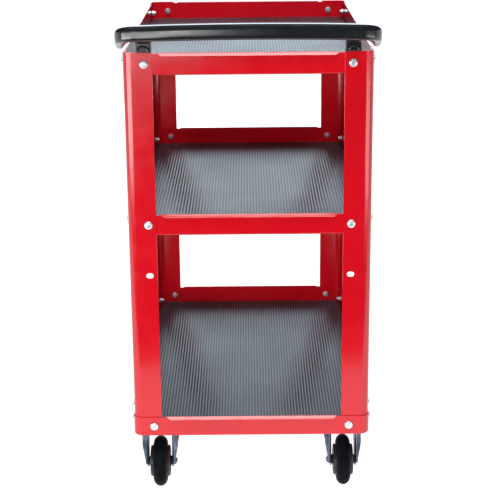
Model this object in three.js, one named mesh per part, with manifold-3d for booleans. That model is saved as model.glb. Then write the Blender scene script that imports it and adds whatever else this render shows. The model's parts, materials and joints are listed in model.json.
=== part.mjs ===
// A three-shelf rolling tool cart: pressed trays bolted between bent-sheet uprights, with a push handle and
// four casters. Millimetres, +Z up, +X across the cart, +Y from the handle end to the far end, floor at z = 0.
import * as THREE from "three";
import { ConvexGeometry } from "three/addons/geometries/ConvexGeometry.js";
import { mergeVertices } from "three/addons/utils/BufferGeometryUtils.js";
import Module from "manifold-3d";

const wasm = await Module();
wasm.setup();

// ---- Driving dimensions ----
const bodyWidth = 400; // over the uprights, side to side
const bodyLength = 690; // over the uprights, end to end
const uprightTop = 779;
const trayBottoms = { bottom: 120, middle: 477, top: 742 };
const wallHeight = 36;
const gap = 0.3; // between pieces that touch

const uprightSheet = 1.5;
const uprightCorner = 14; // outer radius of the fold
const flangeWidth = 47;
const spareHoleHeight = 408;
const spareHole = { length: 12, height: 9 };

const traySheet = 1.2;
const trayBend = 3; // outer radius where a wall meets the floor
const hemWidth = 8;
const hemGap = 7.7; // from an upright's edge to the hem's end
const hemMitre = 6.6; // how much shorter the hem's lower edge is at each end

const linerThickness = 3;
const linerMargin = 4.5; // from the cart's side to the liner's edge
const linerCorner = 11;

const boltInset = 34; // from the cart's corner to each frame bolt
const boltRise = 18; // from a tray's bottom to its bolts
const boltHole = 3.4;
const boltShank = 3;
const boltReach = 12; // from the outer face to the bolt's end
const boltHead = { radius: 6.8, height: 4 };

const handleReach = 90; // from the near uprights' face to the front of the bar
const barHalfDepth = 13;
const barHalfHeight = 12;
const barRise = 42.5; // the bar's middle above the uprights
const barArch = 4; // how much lower the bar's ends are
const barBow = 8; // how much further in the bar's ends are
const curlReach = 201; // from the cart's middle to the tips of the curled ends
const legWidth = 25;
const legRise = 44; // the legs' top edge above the uprights, inside the bar
const tongueThickness = 6.2;
const tongueDrop = 30;

const wheelRadius = 44.5;
const tyreHalfWidth = 12.3;
const rimRadius = 28.2;
const hubRadius = 8.5;
const hubHalfLength = 19.8;
const guardHalfWidth = 17;
const guardRadius = 27;
const axleRadius = 4;
const axleBore = 4.3;

const casterX = 161;
const swivelDepth = 90; // swivel axis in from the near face
const fixedDepth = 75; // fixed axle in from the far face
const trail = 30; // axle ahead of the swivel axis
const plateSize = { width: 66, length: 90, thickness: 2.7, corner: 6 };
const plateSlot = { x: 24, y: 35, radius: 4.2, stretch: 3 };
const raceRadius = 26;
const raceBottom = 111;
const crown = { width: 46, length: 54, top: 110.6, thickness: 3 };
const kingPin = { radius: 5, bore: 5.4, headRadius: 11, headBottom: 101.5 };
const legInner = 20.5; // half the space between a fork's legs
const legSheet = 2.5;
const eyeRadius = 11;
const axleHead = { radius: 7, height: 3.6, nutHeight: 4.6, threadPast: 1.5 };
const flangeReach = 31.5; // half the width over the fork's flared edges
const flareBottom = 77; // the flare is full width down to here
const flareKnee = { reach: 28, height: 58 }; // and narrows through here
const flareEnd = 25;

// ---- Places worked out from them ----
const skirtOut = gap + traySheet; // how far the bottom tray stands outside the uprights
const hemOut = hemWidth * Math.SQRT1_2;
const nearFace = (handleReach - bodyLength - skirtOut - hemOut) / 2; // centres the whole cart on y = 0
const bodyCentreY = nearFace + bodyLength / 2;
const axleHeight = wheelRadius;
const plateTop = trayBottoms.bottom - gap;
const plateBottom = plateTop - plateSize.thickness;

// ---- Solids ----
function solidOf(geometry) {
  const plain = new THREE.BufferGeometry();
  plain.setAttribute("position", geometry.getAttribute("position"));
  plain.setIndex(geometry.index);
  const merged = mergeVertices(plain, 1e-4);
  const mesh = new wasm.Mesh({
    numProp: 3,
    vertProperties: merged.attributes.position.array,
    triVerts: new Uint32Array(merged.index.array),
  });
  return new wasm.Manifold(mesh);
}

function geometryOf(solid) {
  const mesh = solid.getMesh();
  const geometry = new THREE.BufferGeometry();
  geometry.setAttribute("position", new THREE.BufferAttribute(mesh.vertProperties, 3));
  geometry.setIndex(new THREE.BufferAttribute(mesh.triVerts, 1));
  geometry.computeVertexNormals();
  return geometry;
}

function joined(geometries) {
  return geometries.map(solidOf).reduce((whole, piece) => whole.add(piece));
}

function cutFrom(solid, cutters) {
  return cutters.map(solidOf).reduce((whole, cutter) => whole.subtract(cutter), solid);
}

// ---- Shapes ----
function roundedRectangle(width, length, radius) {
  const x = width / 2 - radius;
  const y = length / 2 - radius;
  const quarter = Math.PI / 2;
  const shape = new THREE.Shape();
  shape.absarc(x, y, radius, 0, quarter);
  shape.absarc(-x, y, radius, quarter, 2 * quarter);
  shape.absarc(-x, -y, radius, 2 * quarter, 3 * quarter);
  shape.absarc(x, -y, radius, 3 * quarter, 4 * quarter);
  return shape;
}

function plateOf(shape, depth, curveSegments = 4) {
  return new THREE.ExtrudeGeometry(shape, { depth, bevelEnabled: false, curveSegments });
}

// A block whose bottom edge is rounded by bend; its top is rounded too, so it is made over-tall and trimmed.
function panBlock(width, length, radius, height, bend) {
  const shape = roundedRectangle(width - 2 * bend, length - 2 * bend, radius - bend);
  const settings = { depth: height, bevelThickness: bend, bevelSize: bend, bevelSegments: 2, curveSegments: 4 };
  return new THREE.ExtrudeGeometry(shape, settings).translate(0, 0, bend);
}

function rod(radius, length, segments = 10) {
  return new THREE.CylinderGeometry(radius, radius, length, segments);
}

// A rod along X or Y, centred on a point.
function rodAlong(axis, radius, length, x, y, z) {
  const made = rod(radius, length);
  if (axis === "x") made.rotateZ(Math.PI / 2);
  return made.translate(x, y, z);
}

function slotShape(length, height) {
  return roundedRectangle(length, height, height / 2 - 0.01);
}

// A side outline in (y, z), made thickness deep from x onwards.
function sidePlate(shape, x, thickness, curveSegments = 6) {
  const toSide = new THREE.Matrix4().makeBasis(
    new THREE.Vector3(0, 1, 0),
    new THREE.Vector3(0, 0, 1),
    new THREE.Vector3(1, 0, 0),
  );
  return plateOf(shape, thickness, curveSegments).applyMatrix4(toSide).translate(x, 0, 0);
}

// ---- Trays ----
function hem(topLength) {
  const half = topLength / 2;
  const shape = new THREE.Shape();
  shape.moveTo(-half, 0);
  shape.lineTo(half, 0);
  shape.lineTo(half - hemMitre, hemWidth);
  shape.lineTo(hemMitre - half, hemWidth);
  return plateOf(shape, traySheet).translate(0, 0, -traySheet).rotateX(-Math.PI / 4);
}

// One pressed tray, its floor's underside at z = 0. The inset is how far it stands in from the cart's own sides.
function trayGeometry(inset) {
  const width = bodyWidth - 2 * inset;
  const length = bodyLength - 2 * inset;
  const corner = uprightCorner - inset;
  const outer = solidOf(panBlock(width, length, corner, wallHeight, trayBend));
  const inner = panBlock(
    width - 2 * traySheet,
    length - 2 * traySheet,
    corner - traySheet,
    wallHeight + trayBend,
    trayBend - traySheet,
  );
  const above = new THREE.BoxGeometry(2 * width, 2 * length, wallHeight).translate(0, 0, 1.5 * wallHeight);
  const pan = cutFrom(outer, [inner.translate(0, 0, traySheet), above]);
  const endHem = 2 * (bodyWidth / 2 - flangeWidth - hemGap);
  const sideHem = 2 * (bodyLength / 2 - flangeWidth - hemGap);
  const hems = [0, 1, 2, 3].map((turn) => {
    const along = turn % 2 ? sideHem : endHem;
    const out = turn % 2 ? width / 2 : length / 2;
    return hem(along).translate(0, out, wallHeight).rotateZ((turn * Math.PI) / 2);
  });
  const boltX = bodyWidth / 2 - boltInset;
  const boltY = bodyLength / 2 - boltInset;
  const holes = [-1, 1].flatMap((side) => [
    rodAlong("y", boltHole, 2 * length, side * boltX, 0, boltRise),
    rodAlong("x", boltHole, 2 * width, 0, side * boltY, boltRise),
  ]);
  const whole = hems.map(solidOf).reduce((sum, piece) => sum.add(piece), pan);
  return geometryOf(cutFrom(whole, holes));
}

// ---- Uprights: the outer corner at the origin, one flange along +X and one along +Y ----
function uprightGeometry(bottom) {
  const shape = new THREE.Shape();
  shape.moveTo(uprightCorner, 0);
  shape.lineTo(flangeWidth, 0);
  shape.lineTo(flangeWidth, uprightSheet);
  shape.lineTo(uprightCorner, uprightSheet);
  const centre = uprightCorner;
  const inner = uprightCorner - uprightSheet;
  shape.absarc(centre, centre, inner, 1.5 * Math.PI, Math.PI, true);
  shape.lineTo(uprightSheet, flangeWidth);
  shape.lineTo(0, flangeWidth);
  shape.absarc(centre, centre, uprightCorner, Math.PI, 1.5 * Math.PI, false);
  const height = uprightTop - bottom;
  const angle = solidOf(plateOf(shape, height, 5).translate(0, 0, bottom));
  const heights = Object.values(trayBottoms).map((z) => z + boltRise);
  const through = 4 * uprightSheet;
  const holes = heights.flatMap((z) => [
    rodAlong("y", boltHole, through, boltInset, 0, z),
    rodAlong("x", boltHole, through, 0, boltInset, z),
  ]);
  const oblong = slotShape(spareHole.length, spareHole.height);
  const spare = () => plateOf(oblong, through).translate(0, 0, -through / 2);
  const endSpare = spare().rotateX(Math.PI / 2).translate(boltInset, 0, spareHoleHeight);
  const sideSpare = spare().rotateX(Math.PI / 2).rotateZ(Math.PI / 2).translate(0, boltInset, spareHoleHeight);
  return geometryOf(cutFrom(angle, [...holes, endSpare, sideSpare]));
}

// ---- Liner ----
function linerGeometry() {
  const shape = roundedRectangle(bodyWidth - 2 * linerMargin, bodyLength - 2 * linerMargin, linerCorner);
  return plateOf(shape, linerThickness);
}

// ---- Frame bolt: its axis along +X, the clamped face at x = 0, the head at x < 0 ----
function frameBoltGeometry(reach) {
  const points = [new THREE.Vector2(0, -reach), new THREE.Vector2(boltShank, -reach)];
  points.push(new THREE.Vector2(boltShank, gap), new THREE.Vector2(boltHead.radius, gap));
  const crownSteps = 2;
  for (let i = 0; i <= crownSteps; i += 1) {
    const turn = (i / crownSteps) * (Math.PI / 2);
    const radius = boltHead.radius * Math.cos(turn) ** 0.6;
    const height = gap + boltHead.height * (0.4 + 0.6 * Math.sin(turn));
    points.push(new THREE.Vector2(i === crownSteps ? 0 : radius, height));
  }
  return new THREE.LatheGeometry(points, 9).rotateZ(Math.PI / 2);
}

// ---- Push handle: the near uprights' face at y = 0, their tops at z = 0 ----
const barMiddle = barHalfDepth - handleReach;
const barStops = [
  { x: 0, y: barMiddle, z: barRise, size: 1 },
  { x: curlReach / 2, y: barMiddle + barBow * 0.2, z: barRise - barArch * 0.25, size: 1 },
  { x: curlReach - 36, y: barMiddle + barBow * 0.75, z: barRise - barArch * 0.75, size: 1 },
  { x: curlReach - 18, y: barMiddle + barBow, z: barRise - barArch, size: 0.99 },
  { x: curlReach - 9, y: barMiddle + 17, z: barRise - 8, size: 0.93 },
  { x: curlReach - 4, y: barMiddle + 33, z: barRise - 15, size: 0.75 },
  { x: curlReach - 1, y: barMiddle + 49, z: barRise - 23.5, size: 0.52 },
  { x: curlReach, y: barMiddle + 62, z: barRise - 30, size: 0.34 },
];

// A straight cylinder bent along the bar's curve, its section scaled to the size at each stop.
function barGeometry() {
  const right = barStops.map((stop) => new THREE.Vector3(stop.x, stop.y, stop.z));
  const left = right.slice(1).map((point) => new THREE.Vector3(-point.x, point.y, point.z));
  const rightSizes = barStops.map((stop) => stop.size);
  const sizes = [...rightSizes.slice(1).reverse(), ...rightSizes];
  const curve = new THREE.CatmullRomCurve3([...left.reverse(), ...right], false, "centripetal");
  const stretches = sizes.length - 1;
  const bar = new THREE.CylinderGeometry(1, 1, 1, 10, 2 * stretches);
  const places = bar.getAttribute("position");
  const straight = new THREE.Vector3();
  for (let i = 0; i < places.count; i += 1) {
    straight.fromBufferAttribute(places, i);
    const at = THREE.MathUtils.clamp(straight.y + 0.5, 0, 1);
    const from = Math.min(Math.floor(at * stretches), stretches - 1);
    const size = THREE.MathUtils.lerp(sizes[from], sizes[from + 1], at * stretches - from);
    const along = curve.getTangent(at);
    const out = new THREE.Vector3(along.y, -along.x, 0).normalize();
    const up = new THREE.Vector3().crossVectors(out, along).normalize();
    const place = curve.getPoint(at);
    place.addScaledVector(out, straight.x * size * barHalfDepth);
    place.addScaledVector(up, straight.z * size * barHalfHeight);
    places.setXYZ(i, place.x, place.y, place.z);
  }
  return bar;
}

// A leg hangs behind the wall as a flat tongue, passes over the upright's edge and sweeps forward into the bar.
function handleLegGeometry() {
  const tongueFront = uprightSheet + traySheet + 2 * gap;
  const tongueBack = tongueFront + tongueThickness;
  const insideBar = barMiddle + 5;
  const underside = legRise - 10;
  const shape = new THREE.Shape();
  shape.moveTo(tongueFront, -tongueDrop);
  shape.lineTo(tongueBack, -tongueDrop);
  shape.lineTo(tongueBack, 6);
  shape.quadraticCurveTo(tongueBack, 20, -4, 26);
  shape.quadraticCurveTo(-30, legRise - 4, insideBar, legRise);
  shape.lineTo(insideBar, underside);
  shape.quadraticCurveTo(-30, underside - 4, -12, 10);
  shape.quadraticCurveTo(-8, gap, -3, gap);
  shape.lineTo(tongueFront, gap);
  return sidePlate(shape, -legWidth / 2, legWidth, 5);
}

function handleGeometry() {
  const legX = bodyWidth / 2 - boltInset;
  const legs = [-1, 1].map((side) => handleLegGeometry().translate(side * legX, 0, 0));
  const boltZ = trayBottoms.top + boltRise - uprightTop;
  const holes = [-1, 1].map((side) => rodAlong("y", boltHole, 4 * tongueThickness, side * legX, 10, boltZ));
  return geometryOf(cutFrom(joined([barGeometry(), ...legs]), holes));
}

// ---- Casters: the caster's axis at x = 0, y = 0; heights from the floor ----
function casterPlateSolid() {
  const slotLength = 2 * (plateSlot.radius + plateSlot.stretch);
  const slots = [-1, 1].flatMap((sideX) =>
    [-1, 1].map((sideY) => {
      const slot = plateOf(slotShape(slotLength, 2 * plateSlot.radius), 4 * plateSize.thickness, 2);
      slot.rotateZ(Math.PI / 2);
      return slot.translate(sideX * plateSlot.x, sideY * plateSlot.y, plateTop - 3 * plateSize.thickness);
    }),
  );
  const outline = roundedRectangle(plateSize.width, plateSize.length, plateSize.corner);
  const plate = solidOf(plateOf(outline, plateSize.thickness).translate(0, 0, plateBottom));
  return cutFrom(plate, slots);
}

// A rod standing between two heights.
function post(radius, bottom, top, segments) {
  return rod(radius, top - bottom, segments).rotateX(Math.PI / 2).translate(0, 0, (bottom + top) / 2);
}

function swivelPlateGeometry() {
  const raceTop = plateBottom + 1;
  const race = solidOf(post(raceRadius, raceBottom, raceTop, 20));
  const bore = post(kingPin.bore, raceBottom - 1, plateTop + 1);
  return geometryOf(cutFrom(casterPlateSolid().add(race), [bore]));
}

function kingPinGeometry() {
  const head = kingPin.headRadius;
  const headTop = crown.top - crown.thickness - gap;
  const points = [
    new THREE.Vector2(0, kingPin.headBottom),
    new THREE.Vector2(head - 2, kingPin.headBottom),
    new THREE.Vector2(head, kingPin.headBottom + 2),
    new THREE.Vector2(head, headTop),
    new THREE.Vector2(kingPin.radius, headTop),
    new THREE.Vector2(kingPin.radius, plateTop - gap),
    new THREE.Vector2(0, plateTop - gap),
  ];
  return new THREE.LatheGeometry(points, 12).rotateX(Math.PI / 2);
}

// One leg's outline in (y, z): from its top edge down to a round eye at the axle.
function legOutline(axleY, topHalf, top) {
  const shape = new THREE.Shape();
  shape.moveTo(-topHalf, top);
  shape.absarc(axleY, axleHeight, eyeRadius, Math.PI * 0.98, Math.PI * 2.12, false);
  shape.lineTo(topHalf, top);
  return shape;
}

// The outward-turned edge of a leg, full width at the top and gone at the eye.
function legFlare(side, axleY, topHalf, top, edge) {
  const root = legInner + legSheet - 0.5;
  const outline = [
    [root, top],
    [flangeReach, top],
    [flangeReach, flareBottom],
    [flareKnee.reach, flareKnee.height],
    [flareEnd, axleHeight],
    [root, axleHeight],
  ];
  const points = outline.flatMap(([x, z]) => {
    const part = (top - z) / (top - axleHeight);
    const y = THREE.MathUtils.lerp(edge * topHalf, axleY + edge * eyeRadius, part);
    return [new THREE.Vector3(side * x, y, z), new THREE.Vector3(side * x, y - edge * legSheet, z)];
  });
  return new ConvexGeometry(points);
}

function legGeometries(axleY, topHalf, top) {
  return [-1, 1].flatMap((side) => {
    const inner = side > 0 ? legInner : -legInner - legSheet;
    const plate = sidePlate(legOutline(axleY, topHalf, top), inner, legSheet);
    return [plate, legFlare(side, axleY, topHalf, top, -1), legFlare(side, axleY, topHalf, top, 1)];
  });
}

function forkGeometry() {
  const half = crown.length / 2;
  const roof = new THREE.BoxGeometry(crown.width, crown.length, crown.thickness);
  roof.translate(0, 0, crown.top - crown.thickness / 2);
  const bore = post(kingPin.bore, crown.top - crown.thickness - 1, crown.top + 1);
  const axle = rodAlong("x", axleBore, 4 * legInner, 0, -trail, axleHeight);
  return geometryOf(cutFrom(joined([roof, ...legGeometries(-trail, half, crown.top)]), [bore, axle]));
}

function fixedBracketGeometry() {
  const half = crown.length / 2;
  const top = plateBottom + 1;
  const legs = joined(legGeometries(0, half, top));
  const axle = rodAlong("x", axleBore, 4 * legInner, 0, 0, axleHeight);
  return geometryOf(cutFrom(casterPlateSolid().add(legs), [axle]));
}

function turnedAlongX(points, segments) {
  return new THREE.LatheGeometry(points, segments).rotateZ(-Math.PI / 2);
}

function wheelCentreGeometry() {
  const half = [
    [axleBore, hubHalfLength],
    [hubRadius, hubHalfLength],
    [hubRadius, guardHalfWidth],
    [guardRadius - 4, guardHalfWidth],
    [guardRadius, guardHalfWidth - 3],
    [rimRadius, tyreHalfWidth - 1],
  ];
  const near = half.map(([radius, x]) => new THREE.Vector2(radius, -x));
  const far = half.map(([radius, x]) => new THREE.Vector2(radius, x)).reverse();
  return turnedAlongX([...near, ...far, near[0].clone()], 18);
}

function tyreGeometry() {
  const inner = rimRadius + gap;
  const shoulder = 30.5;
  const points = [new THREE.Vector2(inner, -tyreHalfWidth + 1)];
  const steps = 6;
  for (let i = 0; i <= steps; i += 1) {
    const turn = (i / steps - 0.5) * Math.PI;
    const radius = shoulder + (wheelRadius - shoulder) * Math.cos(turn);
    points.push(new THREE.Vector2(radius, tyreHalfWidth * Math.sin(turn)));
  }
  points.push(new THREE.Vector2(inner, tyreHalfWidth - 1), points[0].clone());
  return turnedAlongX(points, 24);
}

// The axle bolt lies along X, its head at -X and its nut at +X, both outside the fork's legs.
const axleClamp = legInner + legSheet + gap;

function axleBoltGeometry() {
  const { radius, height, nutHeight, threadPast } = axleHead;
  const shankStart = -axleClamp - height / 2;
  const shankEnd = axleClamp + nutHeight + threadPast;
  const head = rod(radius, height, 6).rotateZ(Math.PI / 2).translate(-axleClamp - height / 2, 0, 0);
  const shank = rod(axleRadius, shankEnd - shankStart, 12).rotateZ(Math.PI / 2);
  return geometryOf(joined([head, shank.translate((shankStart + shankEnd) / 2, 0, 0)]));
}

function axleNutGeometry() {
  const { radius, nutHeight } = axleHead;
  const body = rod(radius, nutHeight, 6).rotateZ(Math.PI / 2).translate(axleClamp + nutHeight / 2, 0, 0);
  return geometryOf(cutFrom(solidOf(body), [rodAlong("x", axleBore, 4 * nutHeight, axleClamp, 0, 0)]));
}

// ---- Materials ----
function material(color, roughness, metalness) {
  return new THREE.MeshStandardMaterial({ color, roughness, metalness });
}

const redSheet = () => material(0xd2041c, 0.35, 0.1);
const linerRubber = () => material(0x6f757f, 0.7, 0);
const handlePlastic = () => material(0x121214, 0.35, 0);
const zincSteel = () => material(0xc9cdd2, 0.3, 0.9);
const tyreRubber = () => material(0x111215, 0.6, 0);
const wheelPlastic = () => material(0x1c1d20, 0.5, 0);

// ---- Assembly ----
const cart = new THREE.Group();

function add(parent, name, geometry, look, x = 0, y = 0, z = 0, turn = 0) {
  const mesh = new THREE.Mesh(geometry, look);
  mesh.name = name;
  mesh.position.set(x, y, z);
  mesh.rotation.z = turn;
  parent.add(mesh);
  return mesh;
}

const corners = [
  { name: "near_left", x: -1, y: -1, turn: 0 },
  { name: "near_right", x: 1, y: -1, turn: Math.PI / 2 },
  { name: "far_right", x: 1, y: 1, turn: Math.PI },
  { name: "far_left", x: -1, y: 1, turn: 1.5 * Math.PI },
];

for (const [level, bottom] of Object.entries(trayBottoms)) {
  const inset = level === "bottom" ? -skirtOut : uprightSheet + gap;
  add(cart, `${level}_tray`, trayGeometry(inset), redSheet(), 0, bodyCentreY, bottom);
  add(cart, `${level}_liner`, linerGeometry(), linerRubber(), 0, bodyCentreY, bottom + traySheet + gap);
}

const uprightBottom = trayBottoms.bottom + trayBend + gap;
for (const corner of corners) {
  const x = (corner.x * bodyWidth) / 2;
  const y = bodyCentreY + (corner.y * bodyLength) / 2;
  add(cart, `upright_${corner.name}`, uprightGeometry(uprightBottom), redSheet(), x, y, 0, corner.turn);
}

add(cart, "push_handle", handleGeometry(), handlePlastic(), 0, nearFace, uprightTop);

// Each frame bolt points into the cart through an end flange or a side flange.
for (const corner of corners) {
  for (const [level, bottom] of Object.entries(trayBottoms)) {
    const outside = level === "bottom" ? skirtOut : 0;
    const clampsHandle = level === "top" && corner.y < 0;
    const z = bottom + boltRise;
    const endX = corner.x * (bodyWidth / 2 - boltInset);
    const endY = bodyCentreY + corner.y * (bodyLength / 2 + outside);
    const reach = boltReach + outside + (clampsHandle ? tongueThickness : 0);
    const endTurn = corner.y < 0 ? Math.PI / 2 : -Math.PI / 2;
    const endName = `end_bolt_${level}_${corner.name}`;
    add(cart, endName, frameBoltGeometry(reach), zincSteel(), endX, endY, z, endTurn);
    const sideX = corner.x * (bodyWidth / 2 + outside);
    const sideY = bodyCentreY + corner.y * (bodyLength / 2 - boltInset);
    const sideTurn = corner.x < 0 ? 0 : Math.PI;
    const sideName = `side_bolt_${level}_${corner.name}`;
    add(cart, sideName, frameBoltGeometry(boltReach + outside), zincSteel(), sideX, sideY, z, sideTurn);
  }
}

// A wheel on its axle, the bolt's head on the cart's outer side.
function addWheel(parent, corner, y) {
  const turn = corner.x < 0 ? 0 : Math.PI;
  add(parent, `wheel_centre_${corner.name}`, wheelCentreGeometry(), wheelPlastic(), 0, y, axleHeight);
  add(parent, `tyre_${corner.name}`, tyreGeometry(), tyreRubber(), 0, y, axleHeight);
  add(parent, `axle_bolt_${corner.name}`, axleBoltGeometry(), zincSteel(), 0, y, axleHeight, turn);
  add(parent, `axle_nut_${corner.name}`, axleNutGeometry(), zincSteel(), 0, y, axleHeight, turn);
}

for (const corner of corners) {
  const caster = new THREE.Group();
  const near = corner.y < 0;
  const y = near ? nearFace + swivelDepth : nearFace + bodyLength - fixedDepth;
  caster.position.set(corner.x * casterX, y, 0);
  cart.add(caster);
  if (near) {
    add(caster, `swivel_plate_${corner.name}`, swivelPlateGeometry(), zincSteel());
    add(caster, `king_pin_${corner.name}`, kingPinGeometry(), zincSteel());
    add(caster, `fork_${corner.name}`, forkGeometry(), zincSteel());
  } else {
    add(caster, `fixed_bracket_${corner.name}`, fixedBracketGeometry(), zincSteel());
  }
  addWheel(caster, corner, near ? -trail : 0);
}

export default cart;
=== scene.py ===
"""A three-shelf rolling tool cart, built round its packed engineering frame as a Blender add-on.

Metres, +Z up, +X across the cart, +Y from the push handle towards the far end, the floor at z = 0.
"""

import json
from math import cos, pi, sin, tau

import bmesh
import bpy
from bpy.props import FloatProperty, FloatVectorProperty, PointerProperty
from bpy.types import Operator, Panel, PropertyGroup
from mathutils import Euler, Matrix, Quaternion, Vector, noise


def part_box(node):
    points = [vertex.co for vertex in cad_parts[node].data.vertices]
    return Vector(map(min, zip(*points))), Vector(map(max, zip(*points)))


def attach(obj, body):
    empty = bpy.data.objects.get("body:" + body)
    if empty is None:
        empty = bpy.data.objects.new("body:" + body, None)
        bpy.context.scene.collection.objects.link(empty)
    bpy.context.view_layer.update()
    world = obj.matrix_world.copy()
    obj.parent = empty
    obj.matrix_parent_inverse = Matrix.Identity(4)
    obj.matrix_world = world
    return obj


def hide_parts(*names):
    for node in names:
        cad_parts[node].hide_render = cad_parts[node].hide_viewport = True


bl_info = {
    "name": "Rolling Tool Cart",
    "version": (1, 0, 0),
    "blender": (4, 5, 0),
    "location": "3D View > Sidebar > Tool Cart",
    "description": "Makes a three-shelf steel tool cart on casters, piece by piece",
    "category": "Object",
}

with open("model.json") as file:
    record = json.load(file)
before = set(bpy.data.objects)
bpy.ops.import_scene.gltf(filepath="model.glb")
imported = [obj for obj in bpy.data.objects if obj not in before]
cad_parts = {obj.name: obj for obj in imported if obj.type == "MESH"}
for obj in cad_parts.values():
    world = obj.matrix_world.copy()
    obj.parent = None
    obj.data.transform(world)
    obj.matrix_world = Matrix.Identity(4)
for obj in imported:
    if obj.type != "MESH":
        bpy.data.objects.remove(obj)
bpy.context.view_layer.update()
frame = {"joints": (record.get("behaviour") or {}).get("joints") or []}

LEVELS = ("bottom", "middle", "top")
CORNERS = {"near_left": (-1, -1), "near_right": (1, -1), "far_right": (1, 1), "far_left": (-1, 1)}
NEAR_CORNERS = ("near_left", "near_right")
JOINT_AT = {joint["name"]: Vector(joint["pos_m"]) for joint in frame["joints"]}

UPRIGHTS_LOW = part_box("upright_near_left")[0]
UPRIGHTS_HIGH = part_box("upright_far_right")[1]
MIDDLE_Y = (UPRIGHTS_LOW.y + UPRIGHTS_HIGH.y) / 2
HALF_WIDTH = UPRIGHTS_HIGH.x
HALF_LENGTH = UPRIGHTS_HIGH.y - MIDDLE_Y

ROUND_STEPS = 56
SEAT_GAP = 0.0003  # between a fastener and the sheet it clamps
PLATE_SHEET = 0.0027
PLATE_SLOT = Vector((0.024, 0.035))  # from a caster plate's middle to a slot's
FORK_CLAMP = 0.0233  # from a wheel's middle to its fork's outer face
AXLE_RADIUS = 0.004
AXLE_HEX = 0.013


# ---- Sizes and colours ----
def length(name, description, default):
    return FloatProperty(
        name=name, description=description, default=default, min=0.0, unit="LENGTH", precision=5
    )


def colour(name, description, default):
    return FloatVectorProperty(
        name=name, description=description, default=default, min=0.0, max=1.0, subtype="COLOR"
    )


class CartSizes(PropertyGroup):
    """Lengths that shape the cart's pieces inside the frame."""

    fold_radius: length("Fold radius", "Outer radius of an upright's fold", 0.014)
    flange: length("Flange width", "Width of each side of an upright", 0.047)
    upright_sheet: length("Upright sheet", "Thickness of an upright's steel", 0.0015)
    spare_hole_height: length("Spare hole height", "From the floor to the uprights' oblong holes", 0.408)
    spare_hole_long: length("Spare hole length", "An oblong hole's size across the upright", 0.012)
    spare_hole_short: length("Spare hole width", "An oblong hole's size up the upright", 0.009)
    tray_sheet: length("Tray sheet", "Thickness of a tray's steel", 0.0012)
    tray_bend: length("Tray bend", "Outer radius where a wall meets the floor", 0.003)
    hem_reach: length("Hem reach", "How far a hem stands out from its wall", 0.0056)
    hem_gap: length("Hem gap", "From an upright's edge to the hem's end", 0.0077)
    hem_mitre: length("Hem mitre", "How much a hem's lip is cut back at each end", 0.0066)
    rib_pitch: length("Rib pitch", "Spacing of the liner's rows of beads", 0.0054)
    rib_height: length("Rib height", "Height of the liner's beads", 0.0007)
    bolt_inset: length("Bolt inset", "From a corner of the cart to a frame bolt", 0.034)
    bolt_head: length("Bolt head radius", "Radius of a frame bolt's pan head", 0.0068)
    nut_radius: length("Nut flange radius", "Radius of a flange nut's skirt", 0.0060)
    bar_half_depth: length("Bar half depth", "Half the push bar's depth", 0.0123)
    bar_half_height: length("Bar half height", "Half the push bar's height", 0.012)
    leg_width: length("Leg width", "Width of a handle leg", 0.025)
    caster_sheet: length("Caster sheet", "Thickness of a fork's steel", 0.0025)
    tyre_shoulder: length("Tyre shoulder", "Radius where the tyre's crown starts", 0.0305)


class CartColours(PropertyGroup):
    """Finishes of the cart's pieces."""

    paint: colour("Paint", "Red powder coat", (0.44, 0.0015, 0.0078))
    paint_shade: colour("Paint shade", "Deeper red in the powder coat's clouds", (0.39, 0.0012, 0.0066))
    liner: colour("Liner", "Grey of the non-slip mats", (0.048, 0.063, 0.082))
    # paler patches of the mats, laid at random by noise: painted sheen
    liner_painted_sheen: colour("Liner bloom", "Paler patches of painted sheen on the mats", (0.098, 0.122, 0.152))
    handle: colour("Handle", "Black moulded plastic", (0.004, 0.0045, 0.006))
    zinc: colour("Zinc", "Bright zinc plate", (0.80, 0.82, 0.84))
    zinc_shade: colour("Zinc shade", "Bluer clouds in the zinc", (0.62, 0.67, 0.74))
    tyre: colour("Tyre", "Black rubber", (0.003, 0.0036, 0.0048))
    core: colour("Wheel core", "Black plastic of the wheel centres", (0.008, 0.009, 0.011))
    steel: colour("Caster steel", "Zinc-plated steel of the casters", (0.15, 0.185, 0.24))
    steel_shade: colour("Caster steel shade", "Bluer clouds in the caster steel", (0.06, 0.08, 0.12))
    floor: colour("Floor", "Pale studio floor", (0.45, 0.45, 0.45))


# ---- Materials ----
# The colour sockets of a Mix node, which share their names with its number and vector sockets
MIX_FIRST = 6
MIX_SECOND = 7
MIX_RESULT = 2


def start_look(name, base, roughness, **sockets):
    """A new material with its shader's constant sockets set."""
    look = bpy.data.materials.new(name)
    look.use_nodes = True
    shader = look.node_tree.nodes["Principled BSDF"]
    shader.inputs["Base Color"].default_value = (*base, 1.0)
    shader.inputs["Roughness"].default_value = roughness
    for socket, value in sockets.items():
        shader.inputs[socket.replace("_", " ").title().replace("Ior", "IOR")].default_value = value
    return look


def add_node(look, kind, inputs=None, **settings):
    made = look.node_tree.nodes.new(kind)
    for name, value in settings.items():
        setattr(made, name, value)
    for name, value in (inputs or {}).items():
        made.inputs[name].default_value = value
    return made


def join(look, source, output, target, socket):
    look.node_tree.links.new(source.outputs[output], target.inputs[socket])


def shader_of(look):
    return look.node_tree.nodes["Principled BSDF"]


def scaled(tint, factor):
    return tuple(factor * channel for channel in tint)


def object_coordinates(look):
    nodes = look.node_tree.nodes
    found = [n for n in nodes if n.bl_idname == "ShaderNodeTexCoord"]
    return found[0] if found else add_node(look, "ShaderNodeTexCoord")


def grain(look, scale, detail=2.0, stretch=(1.0, 1.0, 1.0)):
    """Noise over the piece's own coordinates, scale in cycles per metre."""
    mapping = add_node(look, "ShaderNodeMapping", {"Scale": stretch})
    join(look, object_coordinates(look), "Object", mapping, "Vector")
    made = add_node(look, "ShaderNodeTexNoise", {"Scale": scale, "Detail": detail})
    join(look, mapping, "Vector", made, "Vector")
    return made


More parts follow.
